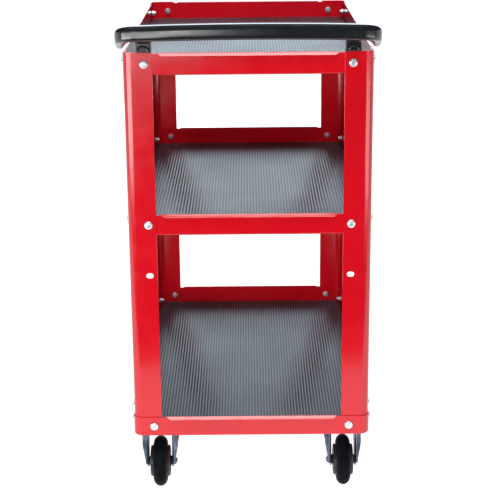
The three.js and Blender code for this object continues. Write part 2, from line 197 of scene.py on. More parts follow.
def clouds(look, pattern, first, second, low=0.35, high=0.65):
    """The base colour drifts between two colours with a pattern."""
    ramp = add_node(look, "ShaderNodeValToRGB")
    ramp.color_ramp.elements[0].position = low
    ramp.color_ramp.elements[1].position = high
    ramp.color_ramp.elements[0].color = (*first, 1.0)
    ramp.color_ramp.elements[1].color = (*second, 1.0)
    join(look, pattern, "Fac", ramp, "Fac")
    join(look, ramp, "Color", shader_of(look), "Base Color")
    return ramp


def uneven_gloss(look, pattern, low, high):
    limits = {"From Min": 0.3, "From Max": 0.7, "To Min": low, "To Max": high}
    spread = add_node(look, "ShaderNodeMapRange", limits)
    join(look, pattern, "Fac", spread, "Value")
    join(look, spread, "Result", shader_of(look), "Roughness")


def relief(look, pattern, strength, depth, output="Fac"):
    bump = add_node(look, "ShaderNodeBump", {"Strength": strength, "Distance": depth})
    join(look, pattern, output, bump, "Height")
    join(look, bump, "Normal", shader_of(look), "Normal")


def red_powder_coat(colours):
    look = start_look("red powder coat", colours.paint, 0.2, ior=1.55)
    clouds(look, grain(look, 4.0, 3.0), colours.paint_shade, colours.paint, 0.3, 0.6)
    uneven_gloss(look, grain(look, 30.0, 3.0), 0.11, 0.20)
    relief(look, grain(look, 420.0, 2.0), 0.10, 0.0002)
    return look


def liner_rubber(colours):
    look = start_look("ribbed liner rubber", colours.liner, 0.5, ior=1.5)
    # the mats' base colour drifts into paler patches laid by noise: painted sheen
    patches = grain(look, 5.0, 4.0, (1.0, 0.6, 1.0))
    painted_sheen = clouds(look, patches, colours.liner, colours.liner_painted_sheen, 0.36, 0.66)
    # the rib value paints the valleys between the beads down to 0.16 of the mat's colour: painted shade in
    # the valleys
    rib = add_node(look, "ShaderNodeAttribute", attribute_name="rib")
    shade = add_node(look, "ShaderNodeValToRGB")
    shade.color_ramp.elements[0].color = (0.16, 0.17, 0.19, 1.0)
    shade.color_ramp.elements[1].color = (1.0, 1.0, 1.0, 1.0)
    join(look, rib, "Fac", shade, "Fac")
    tinted = add_node(look, "ShaderNodeMix", data_type="RGBA", blend_type="MULTIPLY")
    tinted.inputs["Factor"].default_value = 1.0
    join(look, painted_sheen, "Color", tinted, MIX_FIRST)
    join(look, shade, "Color", tinted, MIX_SECOND)
    join(look, tinted, MIX_RESULT, shader_of(look), "Base Color")
    shine = add_node(look, "ShaderNodeMapRange", {"To Min": 0.05, "To Max": 0.8})
    join(look, rib, "Fac", shine, "Value")
    join(look, shine, "Result", shader_of(look), "Specular IOR Level")
    shader_of(look).inputs["Specular Tint"].default_value = (0.74, 0.86, 1.0, 1.0)
    uneven_gloss(look, grain(look, 7.0, 2.0), 0.30, 0.36)
    relief(look, grain(look, 1600.0, 2.0), 0.25, 0.0002)
    return look


def handle_plastic(colours):
    look = start_look("satin black plastic", colours.handle, 0.25, ior=1.65)
    clouds(look, grain(look, 12.0, 3.0), colours.handle, scaled(colours.handle, 1.5))
    uneven_gloss(look, grain(look, 40.0, 2.0), 0.17, 0.23)
    relief(look, grain(look, 900.0, 2.0), 0.03, 0.0001)
    return look


def zinc_plate(name, first, second, scale):
    look = start_look(name, second, 0.25, metallic=0.8)
    clouds(look, grain(look, scale, 3.0), first, second)
    uneven_gloss(look, grain(look, 2.0 * scale, 2.0), 0.26, 0.38)
    relief(look, grain(look, 500.0, 2.0), 0.02, 0.0001)
    return look


def tyre_rubber(colours):
    look = start_look("tyre rubber", colours.tyre, 0.5, specular_ior_level=0.02)
    clouds(look, grain(look, 60.0, 4.0), colours.tyre, scaled(colours.tyre, 2.0))
    uneven_gloss(look, grain(look, 90.0, 3.0), 0.38, 0.55)
    relief(look, grain(look, 1300.0, 3.0), 0.3, 0.0002)
    return look


def core_plastic(colours):
    look = start_look("wheel core plastic", colours.core, 0.4, specular_ior_level=0.3)
    clouds(look, grain(look, 40.0, 3.0), colours.core, scaled(colours.core, 1.7))
    uneven_gloss(look, grain(look, 120.0, 2.0), 0.34, 0.48)
    relief(look, grain(look, 2000.0, 2.0), 0.2, 0.0001)
    return look


LOOKS = {
    "red_powder_coat": red_powder_coat,
    "liner_rubber": liner_rubber,
    "handle_plastic": handle_plastic,
    "zinc_fasteners": lambda colours: zinc_plate("bright zinc", colours.zinc_shade, colours.zinc, 90.0),
    "caster_steel": lambda colours: zinc_plate("caster steel", colours.steel_shade, colours.steel, 30.0),
    "tyre_rubber": tyre_rubber,
    "wheel_plastic": core_plastic,
}
made_looks = {}


def look_for(context, slot):
    if slot not in made_looks:
        made_looks[slot] = LOOKS[slot](context.scene.cart_colours)
    return made_looks[slot]


# ---- Shaping ----
def linked_object(name, bm):
    mesh = bpy.data.meshes.new(name)
    bm.to_mesh(mesh)
    bm.free()
    made = bpy.data.objects.new(name, mesh)
    bpy.context.scene.collection.objects.link(made)
    return made


def keep(context, name, bm, body, slot, *replaced, crease=0.6):
    """Writes a finished shape out as a piece that rides on a body and stands for the named CAD nodes."""
    for face in bm.faces:
        face.smooth = True
    for edge in bm.edges:
        edge.smooth = len(edge.link_faces) == 2 and edge.calc_face_angle(0.0) < crease
    piece = linked_object(name, bm)
    flats = piece.modifiers.new("true flats", "WEIGHTED_NORMAL")
    flats.weight = 50
    flats.keep_sharp = True
    piece.data.materials.append(look_for(context, slot))
    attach(piece, body)
    if replaced:
        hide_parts(*replaced)
    return piece


def tidy_normals(bm):
    bmesh.ops.remove_doubles(bm, verts=bm.verts, dist=1e-6)
    bmesh.ops.dissolve_degenerate(bm, edges=bm.edges, dist=1e-7)
    bmesh.ops.recalc_face_normals(bm, faces=bm.faces)
    return bm


def verts_of(geometry):
    return [part for part in geometry if isinstance(part, bmesh.types.BMVert)]


def bevelled(bm, geometry, width, segments, affect="EDGES", clamp=False):
    bmesh.ops.bevel(
        bm,
        geom=geometry,
        offset=width,
        segments=segments,
        profile=0.5,
        affect=affect,
        clamp_overlap=clamp,
        material=-1,
    )
    return bm


def moved(bm, matrix):
    bmesh.ops.transform(bm, matrix=matrix, verts=bm.verts)
    if matrix.determinant() < 0:
        bmesh.ops.reverse_faces(bm, faces=bm.faces)
    return bm


def merged(*shapes):
    """Several shapes in one bmesh, still separate shells."""
    whole = bmesh.new()
    for shape in shapes:
        step = bpy.data.meshes.new("step")
        shape.to_mesh(step)
        shape.free()
        whole.from_mesh(step)
        bpy.data.meshes.remove(step)
    return whole


def boxed(low, high):
    bm = bmesh.new()
    bmesh.ops.create_cube(bm, size=1.0)
    size = Vector(high) - Vector(low)
    centre = (Vector(high) + Vector(low)) / 2
    return moved(bm, Matrix.Translation(centre) @ Matrix.Diagonal((*size, 1.0)))


def rounded_box(low, high, radius, axis=2, segments=5):
    """A box whose edges along one axis are rounded."""
    bm = boxed(low, high)
    along = [e for e in bm.edges if abs((e.verts[0].co - e.verts[1].co).normalized()[axis]) > 0.9]
    return bevelled(bm, along, radius, segments)


def turned(outline, steps, axis="X"):
    """Spins an outline of (along, radius) points round the X or the Z axis."""
    bm = bmesh.new()
    verts = [bm.verts.new((along, 0.0, radius)) for along, radius in outline]
    edges = [bm.edges.new(pair) for pair in zip(verts, verts[1:])]
    bmesh.ops.spin(
        bm, geom=verts + edges, cent=(0, 0, 0), axis=(1, 0, 0), angle=tau, steps=steps, use_merge=True
    )
    tidy_normals(bm)
    if axis == "Z":
        moved(bm, Matrix.Rotation(-pi / 2, 4, "Y"))
    return bm


def rod(radius, low, high, steps, axis="X"):
    """A plain round rod along an axis."""
    return turned([(low, 0), (low, radius), (high, radius), (high, 0)], steps, axis)


def hexagon(across, low, high, steps=6):
    """A hexagonal prism along X with its end corners rounded off."""
    bm = bmesh.new()
    radius = across / 2 / cos(pi / steps)
    bmesh.ops.create_cone(
        bm, segments=steps, radius1=radius, radius2=radius, depth=high - low, cap_ends=True
    )
    moved(bm, Matrix.Translation(((low + high) / 2, 0, 0)) @ Matrix.Rotation(pi / 2, 4, "Y"))
    return soften(bm, 0.08 * across, 2)


def soften(bm, width, segments=2, sharper=0.6):
    """Rounds every edge sharper than an angle."""
    sharp = [e for e in bm.edges if len(e.link_faces) == 2 and e.calc_face_angle(0.0) > sharper]
    return bevelled(bm, sharp, width, segments, clamp=True)


def cut(bm, *cutters):
    """The shape with the cutters' shapes taken out of it."""
    body = linked_object("being cut", bm)
    tools = [linked_object("cutter", cutter) for cutter in cutters]
    for tool in tools:
        step = body.modifiers.new("cut", "BOOLEAN")
        step.object = tool
        step.operation = "DIFFERENCE"
        step.solver = "EXACT"
    bpy.context.view_layer.update()
    seen = body.evaluated_get(bpy.context.evaluated_depsgraph_get())
    done = bmesh.new()
    done.from_mesh(seen.to_mesh())
    seen.to_mesh_clear()
    for spent in (body, *tools):
        mesh = spent.data
        bpy.data.objects.remove(spent)
        bpy.data.meshes.remove(mesh)
    return done


def extruded(bm, edges, offset):
    """Extrudes edges by an offset and returns the new edges."""
    made = bmesh.ops.extrude_edge_only(bm, edges=edges)["geom"]
    bmesh.ops.translate(bm, vec=offset, verts=verts_of(made))
    return [g for g in made if isinstance(g, bmesh.types.BMEdge) and g.is_boundary]


# ---- Uprights ----
def upright_shape(sizes, height):
    """One upright standing on z = 0, its outer corner at the origin and its sides along +X and +Y."""
    radius = sizes.fold_radius
    bm = bmesh.new()
    start = bm.verts.new((sizes.flange, 0, 0))
    fold = bm.verts.new((radius, 0, 0))
    bm.edges.new((start, fold))
    bmesh.ops.spin(bm, geom=[fold], cent=(radius, radius, 0), axis=(0, 0, 1), angle=-pi / 2, steps=8)
    last = min(bm.verts, key=lambda v: v.co.x - v.co.y)
    end = bm.verts.new((0, sizes.flange, 0))
    bm.edges.new((last, end))
    extruded(bm, list(bm.edges), (0, 0, height))
    ends = [v for v in bm.verts if max(v.co.x, v.co.y) > sizes.flange - 1e-6]
    bevelled(bm, ends, 0.002, 3, affect="VERTICES")
    tidy_normals(bm)
    inside = Vector((1, 1, 0))
    facing_in = sum(f.normal.dot(inside) * f.calc_area() for f in bm.faces) > 0
    if facing_in:
        bmesh.ops.reverse_faces(bm, faces=bm.faces)
    bmesh.ops.solidify(bm, geom=bm.faces, thickness=sizes.upright_sheet)
    return bm


def spare_hole_cutter(sizes, base):
    half_length = sizes.spare_hole_long / 2
    half_height = sizes.spare_hole_short / 2
    middle = Vector((sizes.bolt_inset, 0, sizes.spare_hole_height - base))
    reach = Vector((half_length, 4 * sizes.upright_sheet, half_height))
    return rounded_box(middle - reach, middle + reach, half_height * 0.98, axis=1, segments=6)


class CART_OT_uprights(Operator):
    """Four bent-sheet corner uprights with their oblong spare holes"""

    bl_idname = "cart.uprights"
    bl_label = "Uprights"

    def execute(self, context):
        sizes = context.scene.cart_sizes
        base = UPRIGHTS_LOW.z
        shape = upright_shape(sizes, UPRIGHTS_HIGH.z - base)
        swap_sides = Matrix(((0, 1, 0, 0), (1, 0, 0, 0), (0, 0, 1, 0), (0, 0, 0, 1)))
        other_side = moved(spare_hole_cutter(sizes, base), swap_sides)
        shape = cut(shape, spare_hole_cutter(sizes, base), other_side)
        soften(shape, 0.0004, 2, 0.9)
        for turns, (name, (side_x, side_y)) in enumerate(CORNERS.items()):
            corner = Vector((side_x * HALF_WIDTH, MIDDLE_Y + side_y * HALF_LENGTH, base))
            placed = moved(shape.copy(), Matrix.Translation(corner) @ Matrix.Rotation(turns * pi / 2, 4, "Z"))
            node = f"upright_{name}"
            keep(context, f"bent_{node}", placed, "cart", "red_powder_coat", node)
        shape.free()
        return {"FINISHED"}


# ---- Trays ----
HEM_BEND = 0.0003  # inner radius of the hem's tight bend


def hem_steps(sizes):
    """The (out, up) steps of an open hem from a wall's top: a tight bend, then a lip at 45 degrees."""
    steps = []
    last = Vector((0, 0))
    for turn in (135, 90, 45):
        place = Vector((HEM_BEND + HEM_BEND * cos(turn * pi / 180), HEM_BEND * sin(turn * pi / 180)))
        steps.append((place - last, False))
        last = place
    rest = sizes.hem_reach - last.x - sizes.tray_sheet * sin(pi / 4)
    steps.append((Vector((rest, -rest)), True))
    return steps


def tray_shape(sizes, half_x, half_y, height):
    """A pressed pan on z = 0 with an open hem along the middle of each wall."""
    corner = sizes.fold_radius - (HALF_WIDTH - half_x)
    wall_top = height - sizes.tray_sheet - HEM_BEND
    bm = rounded_box((-half_x, -half_y, 0), (half_x, half_y, wall_top), corner, segments=7)
    top = [f for f in bm.faces if f.normal.z > 0.9]
    bmesh.ops.delete(bm, geom=top, context="FACES")
    rim = [e for e in bm.edges if len(e.link_faces) == 2 and max(v.co.z for v in e.verts) < 1e-6]
    bevelled(bm, rim, sizes.tray_bend, 4)
    runs = {
        "x": HALF_WIDTH - sizes.flange - sizes.hem_gap,
        "y": HALF_LENGTH - sizes.flange - sizes.hem_gap,
    }
    for axis, half in runs.items():
        for side in (-1, 1):
            normal = Vector((1, 0, 0)) if axis == "x" else Vector((0, 1, 0))
            whole = list(bm.verts) + list(bm.edges) + list(bm.faces)
            bmesh.ops.bisect_plane(bm, geom=whole, plane_co=normal * side * half, plane_no=normal)
    for turn in range(4):
        out = Matrix.Rotation(turn * pi / 2, 3, "Z") @ Vector((0, 1, 0))
        along = Vector((abs(out.y), abs(out.x), 0))
        half_out = half_x if turn % 2 else half_y
        half_run = runs["y"] if turn % 2 else runs["x"]

        def on_run(vert):
            on_wall = vert.co.dot(out) > half_out - 1e-5 and vert.co.z > wall_top - 1e-5
            return on_wall and abs(vert.co.dot(along)) < half_run + 1e-5

        edges = [e for e in bm.edges if e.is_boundary and all(on_run(v) for v in e.verts)]
        for step, is_lip in hem_steps(sizes):
            edges = extruded(bm, edges, out * step.x + Vector((0, 0, step.y)))
            edges = [e for e in edges if abs((e.verts[0].co - e.verts[1].co).dot(along)) > 1e-4]
            if is_lip:
                squeeze = (half_run - sizes.hem_mitre) / half_run
                for vert in {v for e in edges for v in e.verts}:
                    vert.co += along * vert.co.dot(along) * (squeeze - 1)
    tidy_normals(bm)
    floor_normal = sum(f.normal.z * f.calc_area() for f in bm.faces)
    if floor_normal > 0:
        bmesh.ops.reverse_faces(bm, faces=bm.faces)
    bmesh.ops.solidify(bm, geom=bm.faces, thickness=sizes.tray_sheet)
    soften(bm, 0.0002, 1, 0.9)
    return bm


class CART_OT_trays(Operator):
    """Three pressed steel trays with an open safety hem on each wall"""

    bl_idname = "cart.trays"
    bl_label = "Trays"

    def execute(self, context):
        sizes = context.scene.cart_sizes
        for level in LEVELS:
            node = f"{level}_tray"
            low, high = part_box(node)
            half_x = high.x - sizes.hem_reach
            half_y = (high.y - low.y) / 2 - sizes.hem_reach
            shape = tray_shape(sizes, half_x, half_y, high.z - low.z)
            moved(shape, Matrix.Translation((0, (low.y + high.y) / 2, low.z)))
            keep(context, f"pressed_{node}", shape, "cart", "red_powder_coat", node)
        return {"FINISHED"}


# ---- Liners ----
def round_corner(vert, half_x, half_y, radius):
    """Pulls a vertex that is past a corner's arc back onto it."""
    over = Vector((abs(vert.co.x) - half_x + radius, abs(vert.co.y) - half_y + radius))
    if min(over) > 0 and over.length > radius:
        over *= radius / over.length
        vert.co.x = (half_x - radius + over.x) * (1 if vert.co.x > 0 else -1)
        vert.co.y = (half_y - radius + over.y) * (1 if vert.co.y > 0 else -1)


def liner_shape(sizes, half_x, half_y, thickness, seed):
    """A mat with lengthwise rows of raised beads, its top at z = 0 and gently uneven."""
    low_bead = 0.45
    unevenness = 0.0006
    step = sizes.rib_pitch / 2
    columns = round(2 * half_x / step)
    rows = round(2 * half_y / step)
    bm = bmesh.new()
    rib = bm.verts.layers.float.new("rib")
    bmesh.ops.create_grid(bm, x_segments=columns, y_segments=rows, size=1.0)
    for vert in bm.verts:
        column = round((vert.co.x + 1) / 2 * columns)
        row = round((vert.co.y + 1) / 2 * rows)
        vert.co.x *= half_x
        vert.co.y *= half_y
        rise = 0.0 if column % 2 else (low_bead if row % 2 else 1.0)
        wave = noise.noise(Vector((vert.co.x * 9, vert.co.y * 6, seed)))
        vert.co.z = -unevenness * (0.5 + 0.5 * wave) - (1 - rise) * sizes.rib_height
        vert[rib] = rise
        round_corner(vert, half_x, half_y, 0.011)
    rim = [e for e in bm.edges if e.is_boundary]
    lower = extruded(bm, rim, (0, 0, 0))
    for vert in {v for e in lower for v in e.verts}:
        vert.co.z = -thickness
    bmesh.ops.edgeloop_fill(bm, edges=[e for e in bm.edges if e.is_boundary])
    bmesh.ops.recalc_face_normals(bm, faces=bm.faces)
    return bm


class CART_OT_liners(Operator):
    """Three grey non-slip mats, one in each tray"""

    bl_idname = "cart.liners"
    bl_label = "Liners"

    def execute(self, context):
        sizes = context.scene.cart_sizes
        for seed, level in enumerate(LEVELS):
            node = f"{level}_liner"
            low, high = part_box(node)
            half = (high - low) / 2
            shape = liner_shape(sizes, half.x, half.y, high.z - low.z, 3.7 * seed)
            moved(shape, Matrix.Translation(((low.x + high.x) / 2, (low.y + high.y) / 2, high.z)))
            keep(context, f"ribbed_{node}", shape, "cart", "liner_rubber", node, crease=0.3)
        return {"FINISHED"}


# ---- Push handle ----
BAR_STOPS = (  # x, y, z from the near uprights' face and tops, and the section's size
    (0.0, -0.0770, 0.0425, 1.0),
    (0.1005, -0.0754, 0.0415, 1.0),
    (0.165, -0.0710, 0.0395, 1.0),
    (0.183, -0.0690, 0.0385, 0.99),
    (0.192, -0.0600, 0.0345, 0.93),
    (0.197, -0.0440, 0.0275, 0.75),
    (0.200, -0.0280, 0.0190, 0.52),
    (0.201, -0.0150, 0.0125, 0.34),
)


def bar_point(stops, at):
    """A point on the smooth curve through the stops, at from 0 to the last stop's number."""
    low = min(int(at), len(stops) - 2)
    rows = [Vector(stops[min(max(i, 0), len(stops) - 1)]) for i in range(low - 1, low + 3)]
    part = at - low
    return 0.5 * (
        2 * rows[1]
        + (rows[2] - rows[0]) * part
        + (2 * rows[0] - 5 * rows[1] + 4 * rows[2] - rows[3]) * part**2
        + (3 * rows[1] - rows[0] - 3 * rows[2] + rows[3]) * part**3
    )


def bar_shape(sizes):
    """The push bar with its curled ends, a rounded oblong drawn along the curve."""
    mirrored = [(-x, y, z, size) for x, y, z, size in BAR_STOPS[:0:-1]]
    stops = mirrored + list(BAR_STOPS)
    steps_each = 5
    squareness = 4.5
    count = (len(stops) - 1) * steps_each
    bm = bmesh.new()
    ring = bmesh.ops.create_circle(bm, segments=40, radius=1.0)["verts"]
    for vert in ring:
        vert.co /= (abs(vert.co.x) ** squareness + abs(vert.co.y) ** squareness) ** (1 / squareness)
    edges = list(bm.edges)
    last = Matrix.Identity(4)
    for i in range(count + 1):
        place = bar_point(stops, i / steps_each)
        ahead = bar_point(stops, min(i / steps_each + 0.02, len(stops) - 1))
        behind = bar_point(stops, max(i / steps_each - 0.02, 0))
        along = (ahead - behind).to_3d().normalized()
        out = Vector((along.y, -along.x, 0)).normalized()
        up = out.cross(along).normalized()
        if up.z < 0:
            up = -up
        size = place.w
        columns = (out * size * sizes.bar_half_depth, up * size * sizes.bar_half_height, along)
        here = Matrix.Translation(place.to_3d()) @ Matrix(columns).transposed().to_4x4()
        if i:
            geometry = bmesh.ops.extrude_edge_only(bm, edges=edges)["geom"]
            ring = verts_of(geometry)
            on_ring = set(ring)
            edges = [g for g in geometry if isinstance(g, bmesh.types.BMEdge) and set(g.verts) <= on_ring]
        bmesh.ops.transform(bm, matrix=here @ last.inverted(), verts=ring)
        last = here
    open_edges = [e for e in bm.edges if e.is_boundary]
    bmesh.ops.holes_fill(bm, edges=open_edges, sides=0)
    tidy_normals(bm)
    return soften(bm, 0.0015, 3, 1.0)


def leg_outline():
    """A leg's side outline in (y, z): a tongue behind the wall that sweeps forward into the bar."""
    tongue_front = 0.0033
    tongue_back = 0.0095
    points = [(tongue_front, -0.030), (tongue_back, -0.030), (tongue_back, 0.006)]
    points += [(0.0085, 0.012), (0.0050, 0.019), (-0.0040, 0.0255)]
    points += [(-0.0200, 0.0330), (-0.0440, 0.0405), (-0.0700, 0.0440)]
    points += [(-0.0700, 0.0340), (-0.0420, 0.0310), (-0.0230, 0.0255)]
    points += [(-0.0130, 0.0190), (-0.0100, 0.0150), (-0.0096, 0.0006), (tongue_front, 0.0006)]
    return points


def leg_shape(sizes):
    half = sizes.leg_width / 2
    bm = bmesh.new()
    verts = [bm.verts.new((-half, y, z)) for y, z in leg_outline()]
    face = bm.faces.new(verts)
    made = bmesh.ops.extrude_face_region(bm, geom=[face])["geom"]
    bmesh.ops.translate(bm, vec=(2 * half, 0, 0), verts=verts_of(made))
    tidy_normals(bm)
    soften(bm, 0.0016, 3, 0.9)
    arch_radius = 0.0078
    tube = 0.0018
    arch = bmesh.new()
    ring = bmesh.ops.create_circle(arch, segments=12, radius=tube)["verts"]
    start = Matrix.Translation((arch_radius, 0, 0))
    bmesh.ops.transform(arch, matrix=start, verts=ring)
    bmesh.ops.spin(arch, geom=arch.edges[:], cent=(0, 0, 0), axis=(0, 1, 0), angle=-pi, steps=14)
    bmesh.ops.holes_fill(arch, edges=[e for e in arch.edges if e.is_boundary], sides=0)
    tidy_normals(arch)
    lean = Matrix.Translation((0, -0.0100, 0.0030))
    return merged(bm, moved(arch, lean))


class CART_OT_push_handle(Operator):
    """The black push handle: a bowed bar with curled ends on two legs"""

    bl_idname = "cart.push_handle"
    bl_label = "Push Handle"

    def execute(self, context):
        sizes = context.scene.cart_sizes
        leg_x = HALF_WIDTH - sizes.bolt_inset
        legs = [moved(leg_shape(sizes), Matrix.Translation((side * leg_x, 0, 0))) for side in (-1, 1)]
        shape = merged(bar_shape(sizes), *legs)
        moved(shape, Matrix.Translation((0, UPRIGHTS_LOW.y, UPRIGHTS_HIGH.z)))
        keep(context, "moulded_push_handle", shape, "cart", "handle_plastic", "push_handle", crease=0.5)
        return {"FINISHED"}


# ---- Frame bolts and nuts ----
def pan_head_bolt(sizes, steps, reach):
    """A bolt along +X with its head's seat at x = 0 and a cross recess in the head."""
    head, shank, point = sizes.bolt_head, 0.003, 0.0005
    rim, dome = SEAT_GAP + 0.0014, 0.0024
    outline = [(-reach, 0), (-reach, shank - point), (-reach + point, shank), (SEAT_GAP, shank)]
    outline += [(SEAT_GAP, head), (rim, head)]
    dome_steps = 6
    for i in range(1, dome_steps + 1):
        turn = i / dome_steps * pi / 2
        outline.append((rim + dome * sin(turn), head * cos(turn) ** 0.55 if i < dome_steps else 0))
    bm = turned([(-x, r) for x, r in outline], steps)
    recess_low, recess_high = -(rim + dome) - 0.001, -(rim + dome) + 0.0016
    arm, half_slot = 0.0034, 0.0006
    blades = [
        boxed((recess_low, -arm, -half_slot), (recess_high, arm, half_slot)),
        boxed((recess_low, -half_slot, -arm), (recess_high, half_slot, arm)),
    ]
    return cut(bm, *blades)


def flange_nut(sizes, steps):
    """A hexagon nut with a round skirt, its seat at x = 0."""
    bore, across, height = 0.0030, 0.0092, 0.0052
    skirt_bore, skirt_top, skirt_height = 0.0031, 0.0048, 0.0018
    outline = [(0, skirt_bore), (0, sizes.nut_radius - 0.0002), (0.0005, sizes.nut_radius)]
    outline += [(skirt_height, skirt_top), (skirt_height, skirt_bore)]
    body = cut(hexagon(across, 0.001, height), rod(bore, -0.001, 0.008, steps))
    return merged(turned(outline, steps), body)


class CART_OT_frame_fasteners(Operator):
    """Twenty-four pan-head bolts through the uprights, each with its flange nut inside"""

    bl_idname = "cart.frame_fasteners"
    bl_label = "Frame Bolts and Nuts"

    def execute(self, context):
        sizes = context.scene.cart_sizes
        steps = ROUND_STEPS // 2
        for name, (side_x, side_y) in CORNERS.items():
            for level in LEVELS:
                for kind in ("end", "side"):
                    self.make_pair(context, sizes, steps, kind, level, name, side_x, side_y)
        return {"FINISHED"}

    def make_pair(self, context, sizes, steps, kind, level, name, side_x, side_y):
        node = f"{kind}_bolt_{level}_{name}"
        low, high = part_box(node)
        middle = (low + high) / 2
        inward = Vector((0, -side_y, 0)) if kind == "end" else Vector((-side_x, 0, 0))
        spread = abs((high - low).dot(inward))
        head = SEAT_GAP + 0.004
        seat = middle - inward * (spread / 2 - head)
        aim = inward.to_track_quat("X", "Z").to_matrix().to_4x4()
        turn = Matrix.Rotation(noise.random() * tau, 4, "X")
        at_seat = Matrix.Translation(seat) @ aim @ turn
        bolt = moved(pan_head_bolt(sizes, steps, spread - head), at_seat)
        keep(context, f"pan_head_{node}", bolt, "cart", "zinc_fasteners", node)
        through_handle = level == "top" and kind == "end" and side_y < 0
        behind = 0.0098 if through_handle else 0.0033
        nut = moved(flange_nut(sizes, steps), Matrix.Translation(seat + inward * behind) @ aim @ turn)
        keep(context, f"flange_nut_{kind}_{level}_{name}", nut, "cart", "zinc_fasteners")


# ---- Casters ----
def plate_shape(low, high):
    """A caster's top plate with four slots, between two corners of its CAD box."""
    bm = rounded_box(low, high, 0.006, segments=6)
    centre = (Vector(low) + Vector(high)) / 2
    slots = []
    reach = Vector((0.0042, 0.0072, 0.01))
    for side_x in (-1, 1):
        for side_y in (-1, 1):
            at = centre + Vector((side_x * PLATE_SLOT.x, side_y * PLATE_SLOT.y, 0))
            slots.append(rounded_box(at - reach, at + reach, 0.0041, segments=5))
    return soften(cut(bm, *slots), 0.0005, 2, 0.9)


def flare_at(z, axle_z):
    """How far a fork leg's turned edge reaches out at a height."""
    full, knee, least = 0.0085, 0.0050, 0.0020
    full_z, knee_z = 0.077, 0.058
    if z >= full_z:
        return full
    if z >= knee_z:
        return knee + (full - knee) * (z - knee_z) / (full_z - knee_z)
    return least + (knee - least) * (z - axle_z) / (knee_z - axle_z)


def fork_shape(sizes, axle_y, top_z, axle_z):
    """A pressed fork: a crown and two legs whose edges turn outwards, its axle at (0, axle_y, axle_z)."""
    inner, sheet, eye, top_half = 0.0205, sizes.caster_sheet, 0.011, 0.027
    outer = inner + sheet
    bm = bmesh.new()
    for side in (-1, 1):
        rows = []
        for i in range(9):
            part = i / 8
            z = top_z + (axle_z - top_z) * part
            front = -top_half + part * (axle_y - eye + top_half)
            back = top_half + part * (axle_y + eye - top_half)
            rows.append([bm.verts.new((side * outer, front, z)), bm.verts.new((side * outer, back, z))])
        for upper, lower in zip(rows, rows[1:]):
            bm.faces.new((upper[0], upper[1], lower[1], lower[0]))
        arc = [rows[-1][1]]
        for i in range(1, 9):
            turn = -pi * i / 9
            at = (side * outer, axle_y + eye * cos(turn), axle_z + eye * sin(turn))
            arc.append(bm.verts.new(at))
        bm.faces.new([rows[-1][0], *arc])
        for edge_of in (0, 1):
            sides = [bm.edges.get((u[edge_of], l[edge_of])) for u, l in zip(rows, rows[1:])]
            made = bmesh.ops.extrude_edge_only(bm, edges=sides)["geom"]
            for vert in verts_of(made):
                vert.co.x += side * flare_at(vert.co.z, axle_z)
    tops = [e for e in bm.edges if e.is_boundary and all(abs(v.co.z - top_z) < 1e-6 for v in e.verts)]
    tops = [e for e in tops if abs(e.verts[0].co.x - e.verts[1].co.x) < 1e-6]
    bmesh.ops.bridge_loops(bm, edges=tops)
    tidy_normals(bm)
    bends = [e for e in bm.edges if len(e.link_faces) == 2 and e.calc_face_angle(0.0) > 0.9]
    bevelled(bm, bends, 0.0022, 4)
    crown = [f for f in bm.faces if f.calc_center_median().z > top_z - 1e-5]
    if sum(f.normal.z for f in crown) < 0:
        bmesh.ops.reverse_faces(bm, faces=bm.faces)
    bmesh.ops.solidify(bm, geom=bm.faces, thickness=sheet)
    axle_hole = moved(rod(AXLE_RADIUS + SEAT_GAP, -0.05, 0.05, 24), Matrix.Translation((0, axle_y, axle_z)))
    return soften(cut(bm, axle_hole), 0.0004, 2, 0.9)


